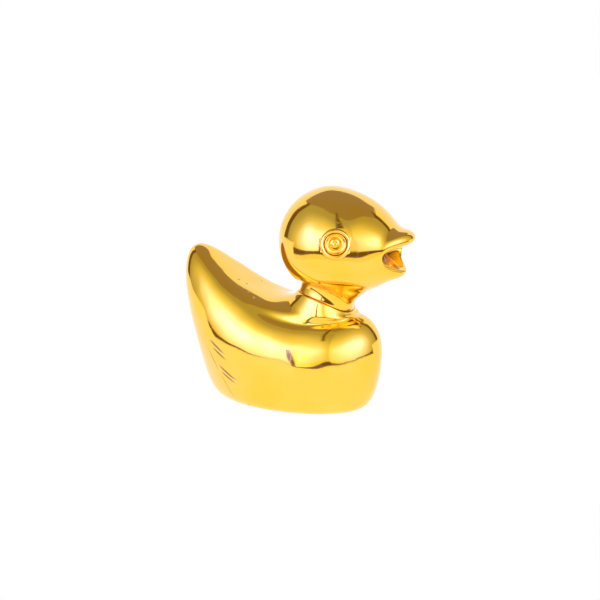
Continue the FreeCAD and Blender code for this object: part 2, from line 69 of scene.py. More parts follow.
def flankRing(level, count):
    # a ring round the upright body; turn 0 is the breast
    frontX, frontZ, backX, backZ, sideX, sideZ, half, egg = level
    points = []
    for turn in turnsOf(count):
        cosine, sine = math.cos(turn), math.sin(turn)
        points.append(Vector((saddle(frontX, backX, sideX, cosine),
                              half * sine * (1 + egg * cosine),
                              saddle(frontZ, backZ, sideZ, cosine))))
    return points


def ovalRing(front, back, half, height, count):
    return flankRing((front, height, back, height, (front + back) / 2, height, half, 0), count)


def neckAxes():
    # up along the neck and forward across it
    tilt = math.radians(neck["tilt"])
    return Vector((math.sin(tilt), 0, math.cos(tilt))), Vector((math.cos(tilt), 0, -math.sin(tilt)))


def neckPoint(along, radius, turn, lift=0.0):
    axis, forward = neckAxes()
    along = along + lift * math.sin(turn) ** 2
    return (Vector((neck["x"], 0, neck["z"])) + axis * along
            + forward * radius * math.cos(turn) + Vector((0, 1, 0)) * radius * math.sin(turn))


def neckRing(along, radius, count, lift=0.0):
    return [neckPoint(along, radius, turn, lift) for turn in turnsOf(count)]


def ringBetween(outer, inner, share, sag, sideSag):
    # a ring on the way from one ring to another, sagging most at the tail
    points = []
    for step, turn in enumerate(turnsOf(len(outer))):
        dip = sag * ((1 - math.cos(turn)) / 2) ** 3 + sideSag * math.sin(turn) ** 2
        points.append(outer[step].lerp(inner[step], share) - Vector((0, 0, dip)))
    return points


def growRings(name, rings, creases=None):
    # starts from a circle and extrudes it ring by ring, each moved to its own place
    creases = creases or {}
    deselectAll()
    bpy.ops.mesh.primitive_circle_add(vertices=len(rings[0]), radius=mm, location=(0, 0, 0))
    shell = bpy.context.object
    shell.name = name
    shell.data.name = name
    bpy.ops.object.mode_set(mode="EDIT")
    mesh = bmesh.from_edit_mesh(shell.data)
    mesh.verts.ensure_lookup_table()
    for vertex, point in zip(mesh.verts, rings[0]):
        vertex.co = point * mm
    for number, ring in enumerate(rings):
        if number:
            bpy.ops.mesh.extrude_region_move()
            mesh = bmesh.from_edit_mesh(shell.data)
            before = [point * mm for point in rings[number - 1]]
            for vertex in [vertex for vertex in mesh.verts if vertex.select]:
                nearest = min(range(len(ring)),
                              key=lambda place: (before[place] - vertex.co).length_squared)
                vertex.co = ring[nearest] * mm
        bmesh.update_edit_mesh(shell.data)
        if number in creases:
            bpy.ops.transform.edge_crease(value=creases[number])
    return shell


def closeEnds(how):
    # how is "bridge" to join the two open ends, or "fill" to cap them
    bpy.ops.mesh.select_all(action="DESELECT")
    bpy.ops.mesh.select_mode(type="EDGE")
    bpy.ops.mesh.select_non_manifold(extend=False)
    if how == "bridge":
        bpy.ops.mesh.bridge_edge_loops()
    else:
        bpy.ops.mesh.edge_face_add()


def capEnd(shell, centre):
    # closes the selected last ring to one point
    bpy.ops.mesh.extrude_region_move()
    bpy.ops.mesh.merge(type="CENTER")
    mesh = bmesh.from_edit_mesh(shell.data)
    for vertex in mesh.verts:
        if vertex.select:
            vertex.co = centre * mm
    bmesh.update_edit_mesh(shell.data)


def capOpening(shell, centre):
    # finds the one open edge that is left and closes it to a point
    bpy.ops.mesh.select_all(action="DESELECT")
    bpy.ops.mesh.select_mode(type="EDGE")
    bpy.ops.mesh.select_non_manifold(extend=False)
    capEnd(shell, centre)


def finishShell(shell, levels):
    # turns the faces outwards, subdivides and smooths
    bpy.ops.mesh.select_all(action="SELECT")
    bpy.ops.mesh.normals_make_consistent(inside=False)
    bpy.ops.object.mode_set(mode="OBJECT")
    if levels:
        smooth = shell.modifiers.new("smooth", "SUBSURF")
        smooth.levels = levels
        smooth.render_levels = levels
        bpy.ops.object.modifier_apply(modifier="smooth")
    bpy.ops.object.shade_smooth()
    return shell


# The body casting

bodyShape = {
    "around": 32,
    "fineness": 3,
    # front x, front z, back x, back z, side x, side z, half width, egg
    "levels": [
        (21.1, 0.4, -27.0, 0.4, -2.9, 0.4, 14.3, 0.0),
        (23.1, 1.9, -29.5, 1.9, -3.3, 1.9, 16.1, 0.0),
        (25.1, 6.2, -32.0, 6.5, -4.0, 5.9, 17.5, 0.0),
        (26.6, 14.2, -34.9, 16.4, -5.3, 12.7, 18.25, 0.0),
        (26.7, 20.7, -37.4, 26.2, -6.8, 18.8, 18.4, 0.0),
        (25.6, 24.7, -39.4, 35.4, -7.7, 22.9, 17.8, 0.0),
        (23.2, 27.9, -39.6, 43.0, -8.0, 26.4, 16.2, 0.0),
        (21.2, 29.2, -37.4, 48.0, -8.0, 29.0, 14.3, 0.05),
        (19.8, 29.7, -32.6, 47.9, -6.8, 30.2, 12.5, 0.08),
    ],
    "scoop": [(0.30, 4.1, 0.0), (0.66, 4.6, 0.1), (0.88, 2.9, 0.2)],
    "collarFoot": (18.6, 29.7, -1.9, 34.9, 8.1, 31.4, 10.6, 0.0),
    # height along the neck and radius, over the collar's lip into the seam
    "collar": [(-0.9, 9.7), (-0.15, 9.45), (0.0, 9.2), (-0.02, 8.78), (-0.35, 8.62)],
    # the neck's socket, then the stud's hole and the nut's pocket under it
    "socket": [(-3.7, 8.6), (-3.7, 2.6), (-8.2, 2.6), (-8.2, 7.0)],
    # front, back, half width and height of the cavity down to the plate's ledge and the rim
    "cavity": [(11.8, -2.4, 7.1, 22.5), (19.6, -26.2, 12.6, 22.5), (24.4, -32.6, 15.6, 21.0),
               (24.2, -31.2, 15.4, 14.0), (22.9, -29.4, 14.8, 7.0), (17.4, -23.3, 10.5, 2.75),
               (19.6, -25.5, 12.75, 2.75), (19.6, -25.5, 12.75, 0.4)],
}


def makeBody():
    around = bodyShape["around"]
    rings = [flankRing(level, around) for level in bodyShape["levels"]]
    crest = rings[-1]
    foot = flankRing(bodyShape["collarFoot"], around)
    rings += [ringBetween(crest, foot, *scoop) for scoop in bodyShape["scoop"]]
    rings.append(foot)
    rings += [neckRing(along, radius, around, neck["saddle"]) for along, radius in bodyShape["collar"]]
    machined = len(rings)
    rings += [neckRing(along, radius, around) for along, radius in bodyShape["socket"]]
    rings += [ovalRing(*oval, around) for oval in bodyShape["cavity"]]
    creases = {number: 1.0 for number in range(machined, len(rings))}
    body = growRings("duck_body", rings, creases)
    closeEnds("bridge")
    return finishShell(body, bodyShape["fineness"])


# The head casting

headShape = {
    "around": 24,
    "fineness": 3,
    "x": 10.9,
    "z": 51.9,
    "radius": 16.9,
    "skullTurns": (14, 30, 46, 62, 78, 92),
    # from the cheeks to the lips and into the mouth, from the head's centre:
    # top x, top z, bottom x, bottom z, side x, side z, half width, egg
    "rings": [
        (7.9, 15.1, 7.5, -15.5, 7.6, 0.0, 15.1, 0.0),
        (13.6, 12.0, 12.3, -14.6, 12.9, -0.9, 12.9, 0.0),
        (17.3, 8.6, 15.2, -12.7, 15.6, -1.3, 11.2, 0.05),
        (19.3, 6.2, 17.6, -11.2, 17.1, -1.5, 10.1, 0.10),
        (21.3, 5.1, 19.4, -10.4, 18.0, -1.6, 9.5, 0.14),
        (23.4, 4.9, 21.2, -9.8, 18.4, -1.9, 9.2, 0.18),
        (25.1, 4.0, 22.7, -8.7, 18.7, -2.2, 8.9, 0.18),
        (25.8, 2.3, 23.3, -7.5, 18.4, -2.4, 8.4, 0.18),
        (24.9, 0.9, 22.7, -6.8, 17.8, -2.6, 7.8, 0.15),
        (22.6, 0.2, 21.3, -6.9, 16.6, -2.7, 7.2, 0.12),
        (20.2, -0.4, 19.5, -6.5, 15.2, -2.8, 6.2, 0.08),
        (17.2, -1.4, 17.0, -5.2, 14.6, -3.0, 4.0, 0.0),
    ],
    "mouthEnd": (15.4, -3.2),
    # height above the seam, radius, share of an even spread round the neck
    "neckRings": [(5.6, 10.4, 0.4), (3.9, 9.1, 0.8), (2.4, 8.75, 1.0), (0.8, 8.95, 1.0), (0.2, 9.02, 1.0)],
    # height and radius of the neck's foot, the last ones deep in the socket
    "neckFoot": [(0.04, 8.85), (-0.35, 8.4), (-3.5, 8.4)],
    "levelBelow": -1.0,
    # up to this height and radius the underside is opened, with a margin for the pulled edge
    "neckRoot": 11.6,
    "rootHeight": 12,
    "rootMargin": 0.6,
    "probeFrom": -6,
    # height up to which the neck keeps the full rise of the seam
    "saddleReach": 6,
    "capInset": 0.6,
}


def headRing(row, count):
    topX, topZ, bottomX, bottomZ, sideX, sideZ, half, egg = row
    centre = Vector((headShape["x"], 0, headShape["z"]))
    points = []
    for turn in turnsOf(count):
        cosine, sine = math.cos(turn), math.sin(turn)
        points.append(centre + Vector((saddle(topX, bottomX, sideX, cosine),
                                       half * sine * (1 + egg * cosine),
                                       saddle(topZ, bottomZ, sideZ, cosine))))
    return points


def skullRing(degrees, count):
    radius = headShape["radius"]
    x = -radius * math.cos(math.radians(degrees))
    tall = radius * math.sin(math.radians(degrees))
    return headRing((x, tall, x, -tall, x, 0, tall, 0), count)


def aroundNeck(point):
    # height above the seam, distance from the neck's axis and turn round it
    axis, forward = neckAxes()
    offset = point / mm - Vector((neck["x"], 0, neck["z"]))
    ahead = offset.dot(forward)
    return offset.dot(axis), math.hypot(ahead, offset.y), math.atan2(offset.y, ahead)


def placeOf(vertex):
    return tuple(round(part, 7) for part in vertex.co)


def pullRing(head, steps, turns, along, radius, lift):
    # extrudes the open edge, and each point keeps its step round the neck
    bpy.ops.mesh.extrude_region_move()
    mesh = bmesh.from_edit_mesh(head.data)
    moved = {}
    for vertex in [vertex for vertex in mesh.verts if vertex.select]:
        step = steps[placeOf(vertex)]
        vertex.co = neckPoint(along, radius, turns[step], lift) * mm
        moved[placeOf(vertex)] = step
    bmesh.update_edit_mesh(head.data)
    return moved


def openUnderside(head):
    # cuts the underside open and lays the edge on a circle round the neck
    mesh = bmesh.from_edit_mesh(head.data)
    skin = BVHTree.FromBMesh(mesh)
    axis = neckAxes()[0]
    bpy.ops.mesh.select_all(action="DESELECT")
    bpy.ops.mesh.select_mode(type="FACE")
    for face in mesh.faces:
        along, radius, turn = aroundNeck(face.calc_center_median())
        face.select = (along < headShape["rootHeight"]
                       and radius < headShape["neckRoot"] - headShape["rootMargin"])
    bmesh.update_edit_mesh(head.data)
    bpy.ops.mesh.delete(type="FACE")
    bpy.ops.mesh.select_mode(type="EDGE")
    bpy.ops.mesh.select_non_manifold(extend=False)
    mesh = bmesh.from_edit_mesh(head.data)
    for vertex in [vertex for vertex in mesh.verts if vertex.select]:
        along, radius, turn = aroundNeck(vertex.co)
        start = neckPoint(headShape["probeFrom"], headShape["neckRoot"], turn) * mm
        place = skin.ray_cast(start, axis)[0]
        if place:
            vertex.co = place
    bmesh.update_edit_mesh(head.data)


def pullNeck(head):
    # extrudes the neck from the opening, with evener steps further down
    openUnderside(head)
    mesh = bmesh.from_edit_mesh(head.data)
    rim = [vertex for vertex in mesh.verts if vertex.select]
    turns = sorted(aroundNeck(vertex.co)[2] for vertex in rim)
    count = len(turns)
    spread = [2 * math.pi * (step - (count - 1) / 2) / count for step in range(count)]
    shift = sum(turn - flat for turn, flat in zip(turns, spread)) / count
    even = [flat + shift for flat in spread]
    numbers = {round(turn, 4): step for step, turn in enumerate(turns)}
    steps = {placeOf(vertex): numbers[round(aroundNeck(vertex.co)[2], 4)] for vertex in rim}
    for along, radius, evenness in headShape["neckRings"]:
        blended = [turn + (flat - turn) * evenness for turn, flat in zip(turns, even)]
        lift = neck["saddle"] * min(1, headShape["saddleReach"] / (along + 1))
        steps = pullRing(head, steps, blended, along, radius, lift)
    for along, radius in headShape["neckFoot"]:
        lift = neck["saddle"] if along > headShape["levelBelow"] else 0
        steps = pullRing(head, steps, even, along, radius, lift)
    bpy.ops.mesh.edge_face_add()
    bpy.ops.mesh.inset(thickness=headShape["capInset"] * mm)


def makeHead():
    around = headShape["around"]
    rings = [skullRing(degrees, around) for degrees in headShape["skullTurns"]]
    rings += [headRing(row, around) for row in headShape["rings"]]
    head = growRings("duck_head", rings)
    endX, endZ = headShape["mouthEnd"]
    capEnd(head, Vector((headShape["x"] + endX, 0, headShape["z"] + endZ)))
    capOpening(head, Vector((headShape["x"] - headShape["radius"], 0, headShape["z"])))
    pullNeck(head)
    return finishShell(head, headShape["fineness"])


# The eyes

eyeShape = {
    "azimuth": 65.3,
    "latitude": 6.7,
    "floor": 15.75,
    "around": 32,
    # radius and height above the eye's seat, round a closed outline
    "ring": [(3.3, 0.0), (3.3, 0.55), (3.38, 0.92), (3.6, 1.2), (3.9, 1.3), (4.18, 1.18), (4.4, 0.9),
             (4.52, 0.5), (4.55, 0.0)],
    "stud": [(1.4, -1.5), (1.4, -0.02), (3.12, 0.0), (3.12, 0.45), (2.92, 0.52), (2.72, 0.16), (2.4, 0.04),
             (1.95, 0.06), (1.6, 0.45), (1.2, 0.82), (0.75, 0.96), (0.45, 0.88), (0.28, 0.6)],
    # the pupil sits a little off the middle of its dish: level and up
    "pupilShift": (-0.18, 0.32),
    # the shift starts after this many rows, at the outer radius, and is whole at the inner one
    "shiftAfter": 3,
    "shiftOuter": 2.4,
    "shiftOver": 0.8,
    "studEnd": 0.5,
    "fineness": 2,
    "edge": 0.8,
    "shoulderEdge": 0.5,
    # the seat in the skin: radius, depth, and how far out its faces lie
    "seatRadius": 3.8,
    "seatDepth": 2.9,
    "seatBeyond": 10,
}


def eyeFrame(side):
    azimuth, latitude = math.radians(eyeShape["azimuth"]), math.radians(eyeShape["latitude"])
    out = Vector((math.cos(latitude) * math.cos(azimuth), side * math.cos(latitude) * math.sin(azimuth),
                  math.sin(latitude)))
    level = Vector((0, 0, 1)).cross(out).normalized()
    return Vector((headShape["x"], 0, headShape["z"])), out, level, out.cross(level)


def pupilOffset(side, level, up):
    across, lift = eyeShape["pupilShift"]
    return level * across * -side + up * lift


def eyeRing(side, radius, height, share=0.0):
    centre, out, level, up = eyeFrame(side)
    middle = centre + out * (eyeShape["floor"] + height) + pupilOffset(side, level, up) * share
    return [middle + level * radius * math.cos(turn) + up * radius * math.sin(turn)
            for turn in turnsOf(eyeShape["around"])]


def shiftShare(place, radius):
    if place <= eyeShape["shiftAfter"]:
        return 0.0
    return max(0.0, min(1.0, (eyeShape["shiftOuter"] - radius) / eyeShape["shiftOver"]))


def makeEye(side, word):
    rings = [eyeRing(side, radius, height) for radius, height in eyeShape["ring"]]
    ring = growRings(f"{word}_eye_ring", rings, {0: eyeShape["edge"], len(rings) - 1: eyeShape["edge"]})
    closeEnds("bridge")
    finishShell(ring, eyeShape["fineness"])
    rings = [eyeRing(side, radius, height, shiftShare(place, radius))
             for place, (radius, height) in enumerate(eyeShape["stud"])]
    stud = growRings(f"{word}_eye_pupil", rings, {0: eyeShape["edge"], 2: eyeShape["shoulderEdge"]})
    centre, out, level, up = eyeFrame(side)
    tip = centre + out * (eyeShape["floor"] + eyeShape["studEnd"])
    capEnd(stud, tip + pupilOffset(side, level, up))
    closeEnds("fill")
    finishShell(stud, eyeShape["fineness"])
    return ring, stud


def seatEye(head, side):
    # opens the skin under the eye and sinks the edge into a closed seat
    centre, out = eyeFrame(side)[:2]
    deselectAll()
    bpy.context.view_layer.objects.active = head
    head.select_set(True)
    bpy.ops.object.mode_set(mode="EDIT")
    bpy.ops.mesh.select_all(action="DESELECT")
    bpy.ops.mesh.select_mode(type="FACE")
    mesh = bmesh.from_edit_mesh(head.data)
    for face in mesh.faces:
        offset = face.calc_center_median() / mm - centre
        height = offset.dot(out)
        aside = (offset - out * height).length
        face.select = height > eyeShape["seatBeyond"] and aside < eyeShape["seatRadius"]
    bmesh.update_edit_mesh(head.data)
    bpy.ops.mesh.delete(type="FACE")
    bpy.ops.mesh.select_mode(type="EDGE")
    bpy.ops.mesh.select_non_manifold(extend=False)
    sink = tuple(out * -eyeShape["seatDepth"] * mm)
    bpy.ops.mesh.extrude_region_move(TRANSFORM_OT_translate={"value": sink})
    bpy.ops.mesh.edge_face_add()
    bpy.ops.object.mode_set(mode="OBJECT")


# The felt under the base, cut to the foot of the body

feltShape = {
    "front": 19.4,
    "back": -25.3,
    "half": 12.55,
    # inset from the outline and height of each ring
    "rings": [(5.0, 0.0), (1.2, 0.0), (0.45, 0.02), (0.1, 0.22), (0.0, 0.55), (0.08, 0.92), (0.4, 1.13),
              (1.2, 1.18), (5.0, 1.18)],
    "fineness": 2,
}


def makeFelt():
    around = bodyShape["around"]
    front, back, half = feltShape["front"], feltShape["back"], feltShape["half"]
    rings = [ovalRing(front - inset, back + inset, half - inset, height, around)
             for inset, height in feltShape["rings"]]
    pad = growRings("felt_pad", rings)
    middle = (front + back) / 2
    capEnd(pad, Vector((middle, 0, feltShape["rings"][-1][1])))
    capOpening(pad, Vector((middle, 0, 0)))
    return finishShell(pad, feltShape["fineness"])


# The brass plug that closes the casting's core hole, filed almost flush

plugShape = {
    "around": 24,
    # the way the plug points out of the right flank
    "out": (-0.13, -0.64, -0.757),
    # radius and height above the skin
    "profile": [(0.5, -2.4), (0.5, -0.02), (0.47, 0.05), (0.36, 0.09), (0.18, 0.11)],
    "crown": 0.115,
    "fineness": 1,
    # the skin is looked for from this far outside, over this length
    "probeFrom": 4,
    "probeReach": 8,
    "skinAbove": 1.5,
}


def makePlug(body):
    low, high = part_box("core_plug")
    middle = (low + high) / 2
    out = Vector(plugShape["out"]).normalized()
    found, place = body.ray_cast(middle + out * plugShape["probeFrom"] * mm, -out,
                                 distance=plugShape["probeReach"] * mm)[:2]
    seat = place / mm if found else middle / mm + out * plugShape["skinAbove"]
    level = Vector((0, 0, 1)).cross(out).normalized()
    up = out.cross(level)
    rings = [[seat + out * height + (level * math.cos(turn) + up * math.sin(turn)) * radius
              for turn in turnsOf(plugShape["around"])] for radius, height in plugShape["profile"]]
    plug = growRings("core_plug_pin", rings, {0: 1.0})
    capEnd(plug, seat + out * plugShape["crown"])
    closeEnds("fill")
    return finishShell(plug, plugShape["fineness"])


print("stage: castings")
body = makeBody()
head = makeHead()
print("stage: eyes")
rightRing, rightPupil = makeEye(-1, "right")
leftRing, leftPupil = makeEye(1, "left")
seatEye(head, -1)
seatEye(head, 1)
print("stage: base and plug")
felt = makeFelt()
plug = makePlug(body)

for piece, node, slot in ((body, "body_shell", "body_brass"), (head, "head_shell", "head_brass"),
                          (rightRing, "right_eye_bezel", "eye_brass"),
                          (leftRing, "left_eye_bezel", "eye_brass"),
                          (rightPupil, "right_eye_stud", "pupil_brass"),
                          (leftPupil, "left_eye_stud", "pupil_brass"),
                          (felt, "base_felt", "felt"), (plug, "core_plug", "plug_brass")):
    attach(piece, "root")
    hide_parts(node)


# Finishes

print("stage: finishes")


def newMaterial(name):
    material = bpy.data.materials.new(name)
    material.use_nodes = True
    return material, material.node_tree, material.node_tree.nodes["Principled BSDF"]


brassLook = {
    "colour": (1.0, 0.58, 0.012, 1),
    "pale": (1.0, 0.62, 0.05, 1),
    # painted shade: the dark brass laid into the bill, the feather lines and the pits
    "paintedShadeTone": (0.24, 0.11, 0.02, 1),
    "pupilColour": (1.0, 0.56, 0.01, 1),
    "tarnished": (0.60, 0.38, 0.02, 1),
    "gloss": (0.035, 0.11),
    "coat": 0.65,
    "coatGloss": 0.04,
    "waves": 1.0,
    "waveDepth": 0.0008,
    "scratches": 0.10,
    "dentDepth": 0.0003,
    # how far the painted shade goes towards its dark brass where its mask is full
    "paintedShadeShare": 0.85,
    # how soon each kind of mark reaches its full depth from the edge
    "rise": {"feathers": 2.2, "pits": 1.6, "mouth": 2.5},
    # engraved feather lines on both flanks: middle, turn, half length, depth and width
    "feathers": [
        ((-21.1, 15.8, 19.4), (0, 31, 16), (4.6, 1.2, 0.42)),
        ((-20.2, 16.0, 17.3), (0, 30, 15), (3.8, 1.2, 0.34)),
        ((-17.6, 15.9, 11.6), (0, 29, 12), (5.4, 1.2, 0.42)),
        ((-17.3, 15.9, 10.0), (0, 28, 12), (4.0, 1.2, 0.34)),
        ((-23.0, 14.5, 14.8), (0, 58, 11), (5.0, 1.2, 0.22)),
        ((-17.9, 14.6, 6.6), (0, 58, -9), (5.5, 1.2, 0.22)),
    ],
    # painted shade: darker brass deep in the open bill
    "mouth": [((27.0, 0.0, 48.9), (0, 0, 0), (5.4, 8.7, 3.9))],
    # small casting pits in the back
    "pits": [
        ((-19.1, -4.2, 38.2), (0, 0, 0), (0.45, 0.45, 0.45)),
        ((-16.6, -3.7, 37.0), (0, 0, 0), (0.45, 0.45, 0.45)),
        ((-15.3, 4.1, 36.5), (0, 0, 0), (0.45, 0.45, 0.45)),
        ((-13.9, -7.6, 35.6), (0, 0, 0), (0.45, 0.45, 0.45)),
        ((-11.4, -9.2, 34.3), (0, 0, 0), (0.45, 0.45, 0.45)),
        ((-13.1, 4.0, 35.8), (0, 0, 0), (0.45, 0.45, 0.45)),
    ],
}


def mathNode(tree, operation, first, second=None, third=None):
    node = tree.nodes.new("ShaderNodeMath")
    node.operation = operation
    for place, value in enumerate((first, second, third)):
        if value is None:
            continue
        if isinstance(value, (int, float)):
            node.inputs[place].default_value = value
        else:
            tree.links.new(value, node.inputs[place])
    return node.outputs[0]


def mixColours(tree, share, first, second):
    mix = tree.nodes.new("ShaderNodeMix")
    mix.data_type = "RGBA"
    tree.links.new(share, mix.inputs["Factor"])
    for name, colour in (("A", first), ("B", second)):
        if isinstance(colour, tuple):
            mix.inputs[name].default_value = colour
        else:
            tree.links.new(colour, mix.inputs[name])
    return mix.outputs["Result"]


def bumpOn(tree, height, strength, distance, normal=None, inward=False):
    bump = tree.nodes.new("ShaderNodeBump")
    bump.inputs["Strength"].default_value = strength
    bump.inputs["Distance"].default_value = distance
    bump.invert = inward
    tree.links.new(height, bump.inputs["Height"])
    if normal:
        tree.links.new(normal, bump.inputs["Normal"])
    return bump.outputs["Normal"]


def objectPlace(tree):
    return tree.nodes.new("ShaderNodeTexCoord").outputs["Object"]


def ballFade(tree, kind, place, turn, reach, where):
    # fades from 1 at its middle to 0 at the surface of an ellipsoid, all in metres and radians
    spot = tree.nodes.new("ShaderNodeMapping")
    spot.vector_type = "TEXTURE"
    spot.inputs["Location"].default_value = place
    spot.inputs["Rotation"].default_value = turn
    spot.inputs["Scale"].default_value = reach
    ball = tree.nodes.new("ShaderNodeTexGradient")
    ball.gradient_type = kind
    tree.links.new(where, spot.inputs["Vector"])
    tree.links.new(spot.outputs["Vector"], ball.inputs["Vector"])
    return ball.outputs["Fac"]


def marksMask(tree, marks, where, rise, mask=None):
    # joins marks, each a middle, a turn in degrees and half sizes in millimetres, to one mask
    for place, turn, reach in marks:
        spot = ballFade(tree, "SPHERICAL", [part * mm for part in place],
                        [math.radians(part) for part in turn], [part * mm for part in reach], where)
        spot = mathNode(tree, "MINIMUM", mathNode(tree, "MULTIPLY", spot, rise), 1.0)
        mask = mathNode(tree, "MAXIMUM", mask, spot) if mask else spot
    return mask


def noiseMask(tree, where, scale, detail, low, high, stretch=(1, 1, 1)):
    mapping = tree.nodes.new("ShaderNodeMapping")
    mapping.inputs["Scale"].default_value = stretch
    tree.links.new(where, mapping.inputs["Vector"])
    noise = tree.nodes.new("ShaderNodeTexNoise")
    noise.inputs["Scale"].default_value = scale
    noise.inputs["Detail"].default_value = detail
    tree.links.new(mapping.outputs["Vector"], noise.inputs["Vector"])
    ramp = tree.nodes.new("ShaderNodeMapRange")
    ramp.inputs["From Min"].default_value = low
    ramp.inputs["From Max"].default_value = high
    tree.links.new(noise.outputs["Fac"], ramp.inputs["Value"])
    return ramp.outputs["Result"]


# size of the grain, detail, low and high end, and how much finer it is along X, Y and Z
skinLook = {
    "haze": (90, 3, 0.35, 0.75),
    "fine": (1, 2, 0.60, 0.72, (260, 900, 2600)),
    "across": (1, 2, 0.62, 0.74, (2400, 500, 300)),
    "waves": (75, 1.2, 0.0, 1.0),
}


def metalSkin():
    # the shared handwork of every metal piece: haze, fine scratches and soft casting waves
    group = bpy.data.node_groups.new("metal skin", "ShaderNodeTree")
    where = objectPlace(group)
    masks = {name: noiseMask(group, where, *look) for name, look in skinLook.items()}
    scratches = mathNode(group, "MAXIMUM", masks["fine"], masks["across"])
    results = {"Haze": masks["haze"], "Scratches": scratches, "Waves": masks["waves"]}
    for name in results:
        group.interface.new_socket(name=name, in_out="OUTPUT", socket_type="NodeSocketFloat")
    out = group.nodes.new("NodeGroupOutput")
    for name, result in results.items():
        group.links.new(result, out.inputs[name])
    return group


skinGroup = metalSkin()


def skinNode(tree):
    skin = tree.nodes.new("ShaderNodeGroup")
    skin.node_tree = skinGroup
    return skin.outputs


def bothFlanks(tree, where):
    # folds the left side onto the right, so that both flanks carry the same marks
    parts = tree.nodes.new("ShaderNodeSeparateXYZ")
    joined = tree.nodes.new("ShaderNodeCombineXYZ")
    tree.links.new(where, parts.inputs[0])
    tree.links.new(parts.outputs[0], joined.inputs[0])
    tree.links.new(mathNode(tree, "ABSOLUTE", parts.outputs[1]), joined.inputs[1])
    tree.links.new(parts.outputs[2], joined.inputs[2])
    return joined.outputs[0]


def brassMaterial(name, colour, feathers=(), pits=(), mouth=()):
    # feathers and pits go into the skin and are also darkened with painted shade; the mouth only gets the
    # painted shade
    material, tree, shader = newMaterial(name)
    skin = skinNode(tree)
    asCast = objectPlace(tree)
    where = bothFlanks(tree, asCast) if feathers or mouth else asCast
    rise = brassLook["rise"]
    dent = marksMask(tree, feathers, where, rise["feathers"])
    dent = marksMask(tree, pits, asCast, rise["pits"], dent)
    # painted shade: the feather lines, the pits and the deep bill darkened towards the dark brass
    paintedShade = marksMask(tree, mouth, where, rise["mouth"], dent)
    tone = mixColours(tree, skin["Haze"], colour, brassLook["pale"])
    if paintedShade:
        tone = mixColours(tree, mathNode(tree, "MULTIPLY", paintedShade, brassLook["paintedShadeShare"]), tone,
                          brassLook["paintedShadeTone"])
    tree.links.new(tone, shader.inputs["Base Color"])
    low, high = brassLook["gloss"]
    rough = mathNode(tree, "MULTIPLY_ADD", skin["Haze"], high - low, low)
    rough = mathNode(tree, "MULTIPLY_ADD", skin["Scratches"], brassLook["scratches"], rough)
    tree.links.new(rough, shader.inputs["Roughness"])
    shader.inputs["Metallic"].default_value = 1.0
    shader.inputs["Coat Weight"].default_value = brassLook["coat"]
    shader.inputs["Coat Roughness"].default_value = brassLook["coatGloss"]
    normal = bumpOn(tree, skin["Waves"], brassLook["waves"], brassLook["waveDepth"])
    if dent:
        normal = bumpOn(tree, dent, 1.0, brassLook["dentDepth"], normal, inward=True)
    tree.links.new(normal, shader.inputs["Normal"])
    return material


def dress(piece, material):
    piece.data.materials.clear()
    piece.data.materials.append(material)


eyeBrass = brassMaterial("eye ring brass", brassLook["pale"])
pupilBrass = brassMaterial("pupil brass", brassLook["pupilColour"])
dress(body, brassMaterial("polished body brass", brassLook["colour"], feathers=brassLook["feathers"],
                          pits=brassLook["pits"]))
dress(head, brassMaterial("polished head brass", brassLook["colour"], mouth=brassLook["mouth"]))
for ring, pupil in ((rightRing, rightPupil), (leftRing, leftPupil)):
    dress(ring, eyeBrass)
    dress(pupil, pupilBrass)
dress(plug, brassMaterial("plug brass", brassLook["tarnished"]))


hiddenLook = {
    "steel": (0.58, 0.58, 0.60, 1),
    "steelWorn": (0.34, 0.33, 0.33, 1),
    "plate": (0.72, 0.46, 0.10, 1),
    "plateWorn": (0.46, 0.27, 0.06, 1),
    "felt": (0.012, 0.030, 0.018, 1),
    "feltFuzz": (0.035, 0.070, 0.045, 1),
    "wornShare": 0.8,
    # tool marks: grain, detail, low and high end
    "marks": (1, 2, 0.3, 0.7),
    "markGloss": 0.18,
    "markStrength": 0.3,
    "markDepth": 0.00005,
    # grain and mat of the felt, as in skinLook
    "fuzz": (2600, 4, 0.35, 0.65),
    "mat": (1, 3, 0.35, 0.7, (2200, 600, 900)),
    "matShare": 0.5,
    "feltGloss": 0.95,
    "feltSheen": 0.4,
    "feltStrength": 0.8,
    "feltDepth": 0.00015,
}


def workedMetal(name, colour, worn, gloss, stretch):
    # machined metal: fine tool marks along one way and dull patches
    material, tree, shader = newMaterial(name)
    marks = noiseMask(tree, objectPlace(tree), *hiddenLook["marks"], stretch)
    share = mathNode(tree, "MULTIPLY", skinNode(tree)["Haze"], hiddenLook["wornShare"])
    tree.links.new(mixColours(tree, share, colour, worn), shader.inputs["Base Color"])
    rough = mathNode(tree, "MULTIPLY_ADD", marks, hiddenLook["markGloss"], gloss)
    tree.links.new(rough, shader.inputs["Roughness"])
    shader.inputs["Metallic"].default_value = 1.0
    normal = bumpOn(tree, marks, hiddenLook["markStrength"], hiddenLook["markDepth"])
    tree.links.new(normal, shader.inputs["Normal"])
    return material


def feltMaterial():
    material, tree, shader = newMaterial("dark felt")
    where = objectPlace(tree)
    fuzz = noiseMask(tree, where, *hiddenLook["fuzz"])
    mat = noiseMask(tree, where, *hiddenLook["mat"])
    share = hiddenLook["matShare"]
    both = mathNode(tree, "MULTIPLY_ADD", mat, share, mathNode(tree, "MULTIPLY", fuzz, 1 - share))
    colour = mixColours(tree, both, hiddenLook["felt"], hiddenLook["feltFuzz"])
    tree.links.new(colour, shader.inputs["Base Color"])
    shader.inputs["Roughness"].default_value = hiddenLook["feltGloss"]
    shader.inputs["Sheen Weight"].default_value = hiddenLook["feltSheen"]
    normal = bumpOn(tree, both, hiddenLook["feltStrength"], hiddenLook["feltDepth"])
    tree.links.new(normal, shader.inputs["Normal"])
    return material


